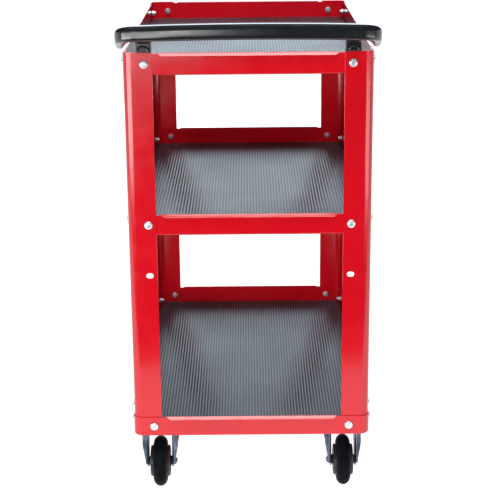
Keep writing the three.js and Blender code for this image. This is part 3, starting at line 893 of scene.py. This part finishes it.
class CART_OT_caster_frames(Operator):
    """Swivel plates, king pins and forks at the handle end, fixed brackets at the far end"""

    bl_idname = "cart.caster_frames"
    bl_label = "Caster Frames"

    def execute(self, context):
        for name in CORNERS:
            if name in NEAR_CORNERS:
                self.make_swivel(context, name)
            else:
                self.make_fixed(context, name)
        return {"FINISHED"}

    def make_swivel(self, context, name):
        sizes = context.scene.cart_sizes
        steps = ROUND_STEPS
        axis = JOINT_AT[f"{name}_swivel"]
        axle = JOINT_AT[f"{name}_wheel_spin"]
        node = f"swivel_plate_{name}"
        low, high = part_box(node)
        plate_low = high.z - PLATE_SHEET
        plate = plate_shape((low.x, low.y, plate_low), high)
        race = [(plate_low + 0.0004, 0.0055), (plate_low + 0.0004, 0.0275), (plate_low - 0.0012, 0.0262)]
        race += [(low.z + 0.0018, 0.0255), (low.z + 0.0004, 0.0245), (low.z, 0.0225), (low.z, 0.0055)]
        race.append(race[0])
        to_axis = Matrix.Translation((axis.x, axis.y, 0))
        plate = merged(plate, moved(turned(race, steps, "Z"), to_axis))
        keep(context, f"pressed_{node}", plate, "cart", "caster_steel", node)

        node = f"king_pin_{name}"
        low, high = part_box(node)
        crown_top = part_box(f"fork_{name}")[1].z
        seat = crown_top - 0.0033
        pin = [(low.z, 0), (low.z, 0.0062), (low.z + 0.0008, 0.0092), (low.z + 0.0026, 0.0110)]
        pin += [(seat, 0.0110), (seat, 0.005), (high.z, 0.005), (high.z, 0)]
        shape = moved(turned(pin, steps // 2, "Z"), to_axis)
        keep(context, f"riveted_{node}", shape, "cart", "zinc_fasteners", node)

        fork = fork_shape(sizes, axle.y - axis.y, crown_top, axle.z)
        bore = rod(0.0054, 0.09, 0.13, 32, "Z")
        fork = moved(cut(fork, bore), to_axis)
        keep(context, f"pressed_fork_{name}", fork, f"{name}_fork", "caster_steel", f"fork_{name}")

    def make_fixed(self, context, name):
        sizes = context.scene.cart_sizes
        axle = JOINT_AT[f"{name}_wheel_spin"]
        node = f"fixed_bracket_{name}"
        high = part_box(node)[1]
        plate_low = high.z - PLATE_SHEET
        half_x, half_y = 0.033, 0.045
        corners = (axle.x - half_x, axle.y - half_y, plate_low), (axle.x + half_x, axle.y + half_y, high.z)
        legs = fork_shape(sizes, 0.0, plate_low + 0.0004, axle.z)
        moved(legs, Matrix.Translation((axle.x, axle.y, 0)))
        bracket = merged(plate_shape(*corners), legs)
        keep(context, f"pressed_{node}", bracket, "cart", "caster_steel", node)


class CART_OT_plate_fasteners(Operator):
    """Sixteen bolts and nuts that hold the caster plates to the bottom tray"""

    bl_idname = "cart.plate_fasteners"
    bl_label = "Caster Plate Bolts"

    def execute(self, context):
        steps = ROUND_STEPS // 2
        for name in CORNERS:
            node = f"swivel_plate_{name}" if name in NEAR_CORNERS else f"fixed_bracket_{name}"
            low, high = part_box(node)
            centre = (low + high) / 2
            for i, (side_x, side_y) in enumerate(CORNERS.values(), 1):
                slot_x = centre.x + side_x * PLATE_SLOT.x
                slot_y = centre.y + side_y * PLATE_SLOT.y
                at = Matrix.Translation((slot_x, slot_y, 0))
                nut = moved(self.washer_and_nut(high.z - PLATE_SHEET, steps), at)
                keep(context, f"plate_nut_{name}_{i}", nut, "cart", "zinc_fasteners")
                bolt = moved(self.stud(high.z - PLATE_SHEET, high.z + 0.0015, steps), at)
                keep(context, f"plate_bolt_{name}_{i}", bolt, "cart", "zinc_fasteners")
        return {"FINISHED"}

    def washer_and_nut(self, under, steps):
        """A washer and a hexagon nut below a plate's underside, along Z."""
        bore, low, high = 0.0032, under - 0.0013, under - SEAT_GAP
        washer = [(low, bore), (low, 0.0072), (high, 0.0074), (high, bore), (low, bore)]
        nut = hexagon(0.010, 0, 0.005)
        moved(nut, Matrix.Translation((0, 0, low - 0.005)) @ Matrix.Rotation(-pi / 2, 4, "Y"))
        moved(nut, Matrix.Rotation(noise.random() * tau, 4, "Z"))
        return merged(nut, turned(washer, steps, "Z"))

    def stud(self, under, top, steps):
        """A plate bolt's shank along Z, its point below the nut."""
        radius, point, low = 0.003, 0.0005, under - 0.0085
        outline = [(low, 0), (low, radius - point), (low + point, radius), (top, radius), (top, 0)]
        return turned(outline, steps, "Z")


# ---- Wheels ----
def tyre_outline(sizes, radius, half_width):
    """The tyre's section: a round crown with shallow grooves each side of a middle rib."""
    shoulder = sizes.tyre_shoulder
    rim = 0.0284
    grooves = (-0.0080, -0.0045, 0.0045, 0.0080)
    groove_depth = 0.0007
    groove_half_width = 0.0006
    points = [(-half_width + 0.001, rim)]
    count = 60
    for i in range(count + 1):
        turn = (i / count - 0.5) * pi
        along = half_width * sin(turn)
        height = shoulder + (radius - shoulder) * cos(turn)
        near_groove = min(abs(along - groove) for groove in grooves)
        height -= groove_depth * max(0.0, 1 - near_groove / groove_half_width)
        points.append((along, height))
    points += [(half_width - 0.001, rim), points[0]]
    return points


def core_outline():
    """Half of a wheel centre's section, from the bore out to the tyre's seat."""
    return [
        (0.0198, 0.0043),
        (0.0198, 0.0080),
        (0.0194, 0.0085),
        (0.0172, 0.0085),
        (0.0168, 0.0090),
        (0.0160, 0.0120),
        (0.0158, 0.0215),
        (0.0170, 0.0230),
        (0.0170, 0.0258),
        (0.0162, 0.0270),
        (0.0126, 0.0276),
        (0.0113, 0.0282),
    ]


class CART_OT_wheels(Operator):
    """Four wheels: a moulded centre with its thread guards and a grooved rubber tyre"""

    bl_idname = "cart.wheels"
    bl_label = "Wheels"

    def execute(self, context):
        sizes = context.scene.cart_sizes
        steps = ROUND_STEPS
        for name in CORNERS:
            axle = JOINT_AT[f"{name}_wheel_spin"]
            body = f"{name}_wheel"
            low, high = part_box(f"tyre_{name}")
            half = (high.x - low.x) / 2
            section = tyre_outline(sizes, axle.z, half)
            tyre = moved(turned(section, 2 * steps), Matrix.Translation(axle))
            keep(context, f"grooved_tyre_{name}", tyre, body, "tyre_rubber", f"tyre_{name}", crease=0.9)
            side = core_outline()
            section = side + [(-x, r) for x, r in reversed(side)] + side[:1]
            core = moved(turned(section, steps), Matrix.Translation(axle))
            keep(context, f"moulded_centre_{name}", core, body, "wheel_plastic", f"wheel_centre_{name}")
        return {"FINISHED"}


class CART_OT_axles(Operator):
    """Axle bolts with hexagon heads and lock nuts, heads outwards"""

    bl_idname = "cart.axles"
    bl_label = "Axles"

    def execute(self, context):
        steps = ROUND_STEPS // 2
        for name, (side_x, _) in CORNERS.items():
            axle = JOINT_AT[f"{name}_wheel_spin"]
            body = f"{name}_fork" if name in NEAR_CORNERS else "cart"
            place = Matrix.Translation(axle) @ Matrix.Rotation(0 if side_x > 0 else pi, 4, "Z")
            bolt = moved(self.axle_bolt(steps), place)
            keep(context, f"hex_axle_bolt_{name}", bolt, body, "caster_steel", f"axle_bolt_{name}")
            nut = moved(self.lock_nut(steps), place)
            keep(context, f"lock_nut_{name}", nut, body, "caster_steel", f"axle_nut_{name}")
        return {"FINISHED"}

    def axle_bolt(self, steps):
        """A bolt through the wheel along X, its washered head at the +X side."""
        tip, point, skirt = -0.0294, 0.0006, 0.0079
        washer_top = FORK_CLAMP + 0.0010
        shank = [(tip, 0), (tip, AXLE_RADIUS - point), (tip + point, AXLE_RADIUS)]
        shank += [(washer_top, AXLE_RADIUS), (washer_top, 0)]
        washer = [(FORK_CLAMP, AXLE_RADIUS), (FORK_CLAMP, skirt)]
        washer += [(washer_top, skirt), (washer_top, AXLE_RADIUS), washer[0]]
        head = hexagon(AXLE_HEX, FORK_CLAMP + 0.0004, FORK_CLAMP + 0.0036)
        return merged(turned(shank, steps), turned(washer, steps), head)

    def lock_nut(self, steps):
        """A hexagon nut with its locking collar, at the -X side."""
        bore = 0.0042
        top = -FORK_CLAMP - 0.0036
        collar = [(top, bore), (top, 0.0058), (top - 0.0008, 0.0053), (top - 0.0010, bore), (top, bore)]
        body = cut(hexagon(AXLE_HEX, top - 0.0002, -FORK_CLAMP), rod(bore, -0.04, 0, steps))
        return merged(body, turned(collar, steps))


# ---- Stage ----
class CART_OT_stage(Operator):
    """A pale floor, soft studio lights and the camera"""

    bl_idname = "cart.stage"
    bl_label = "Stage"

    def execute(self, context):
        self.make_floor(context)
        self.make_world(context)
        face = UPRIGHTS_LOW.y
        self.make_light(
            context, "left strip", (-1.45, face - 1.475, 0.335), (0, face, 0.335), (2.3, 0.49), 9.0
        )
        self.make_light(
            context, "left fill", (-0.5, face - 2.58, 0.27), (-0.2, face, 0.27), (0.28, 0.32), 0.9
        )
        self.make_light(context, "bar glow", (-0.44, face - 2.58, 0.56), (0, face, 0.56), (0.46, 0.2), 12.0)
        self.make_light(context, "front", (0, face - 2.7, 1.5), (0, face, 0.8), (1.8, 0.8), 11.0, False)
        self.make_light(context, "right wall", (1.55, face - 1.42, 0.21), (0, face, 0.21), (1.95, 0.42), 4.8)
        self.make_light(context, "overhead", (0, face - 0.5, 2.4), (0, face, 0.78), (1.5, 0.95), 10.0)
        cool = (0.80, 0.91, 1.0)
        self.make_light(context, "back wall", (0, 3.4, 1.2), (0, 0, 1.2), (1.8, 2.4), 2.6, True, cool)
        self.make_camera(context)
        context.scene.view_settings.view_transform = "Standard"
        return {"FINISHED"}

    def make_floor(self, context):
        bm = boxed((-14, UPRIGHTS_LOW.y - 0.62, -0.01), (14, 30, 0))
        floor = linked_object("paper_sweep", bm)
        look = start_look("pale floor", context.scene.cart_colours.floor, 0.75)
        shader_of(look).inputs["Emission Color"].default_value = (1, 1, 1, 1)
        shader_of(look).inputs["Emission Strength"].default_value = 1.0
        relief(look, grain(look, 300.0, 2.0), 0.05, 0.0003)
        uneven_gloss(look, grain(look, 8.0, 2.0), 0.7, 0.8)
        floor.data.materials.append(look)

    def make_world(self, context):
        world = bpy.data.worlds.new("studio")
        world.use_nodes = True
        nodes, links = world.node_tree.nodes, world.node_tree.links
        dim = nodes["Background"]
        dim.inputs["Color"].default_value = (1, 1, 1, 1)
        dim.inputs["Strength"].default_value = 0.06
        bright = nodes.new("ShaderNodeBackground")
        bright.inputs["Color"].default_value = (1, 1, 1, 1)
        bright.inputs["Strength"].default_value = 1.0
        choice = nodes.new("ShaderNodeMixShader")
        links.new(nodes.new("ShaderNodeLightPath").outputs["Is Camera Ray"], choice.inputs["Fac"])
        links.new(dim.outputs[0], choice.inputs[1])
        links.new(bright.outputs[0], choice.inputs[2])
        links.new(choice.outputs[0], nodes["World Output"].inputs["Surface"])
        context.scene.world = world

    def make_light(self, context, name, place, target, size, radiance, in_reflections=True, tint=(1, 1, 1)):
        data = bpy.data.lights.new(name, "AREA")
        data.shape = "RECTANGLE"
        data.color = tint
        data.size, data.size_y = size
        data.energy = pi * size[0] * size[1] * radiance
        lamp = bpy.data.objects.new(name, data)
        lamp.location = place
        lamp.rotation_euler = (Vector(target) - Vector(place)).to_track_quat("-Z", "Y").to_euler()
        lamp.visible_camera = False
        lamp.visible_glossy = in_reflections
        context.scene.collection.objects.link(lamp)

    def make_camera(self, context):
        data = bpy.data.cameras.new("camera")
        data.lens = 97.6
        data.shift_y = -0.037
        data.clip_end = 60
        camera = bpy.data.objects.new("camera", data)
        camera.location = (-0.0009, UPRIGHTS_LOW.y - 2.1164, 1.1012)
        tilt, pan, roll = 0.2827, 0.0010, -0.0089
        camera.rotation_mode = "QUATERNION"
        level = Euler((pi / 2 - tilt, 0, pan)).to_quaternion()
        camera.rotation_quaternion = level @ Quaternion((0, 0, 1), roll)
        context.scene.collection.objects.link(camera)
        context.scene.camera = camera


# ---- Add-on ----
PIECES = (
    CART_OT_trays,
    CART_OT_uprights,
    CART_OT_liners,
    CART_OT_push_handle,
    CART_OT_frame_fasteners,
    CART_OT_caster_frames,
    CART_OT_plate_fasteners,
    CART_OT_wheels,
    CART_OT_axles,
    CART_OT_stage,
)


class CART_PT_pieces(Panel):
    """Lists the operators that make the cart"""

    bl_idname = "CART_PT_pieces"
    bl_label = "Tool Cart"
    bl_space_type = "VIEW_3D"
    bl_region_type = "UI"
    bl_category = "Tool Cart"

    def draw(self, context):
        for group in (context.scene.cart_sizes, context.scene.cart_colours):
            column = self.layout.column()
            for name in group.__annotations__:
                column.prop(group, name)
        for piece in PIECES:
            self.layout.operator(piece.bl_idname)


CLASSES = (CartSizes, CartColours, *PIECES, CART_PT_pieces)


def register():
    for cls in CLASSES:
        bpy.utils.register_class(cls)
    bpy.types.Scene.cart_sizes = PointerProperty(type=CartSizes)
    bpy.types.Scene.cart_colours = PointerProperty(type=CartColours)


def unregister():
    del bpy.types.Scene.cart_colours
    del bpy.types.Scene.cart_sizes
    for cls in reversed(CLASSES):
        bpy.utils.unregister_class(cls)


def main():
    register()
    noise.seed_set(7)
    for piece in PIECES:
        group, name = piece.bl_idname.split(".")
        getattr(getattr(bpy.ops, group), name)()


if __name__ == "__main__":
    main()
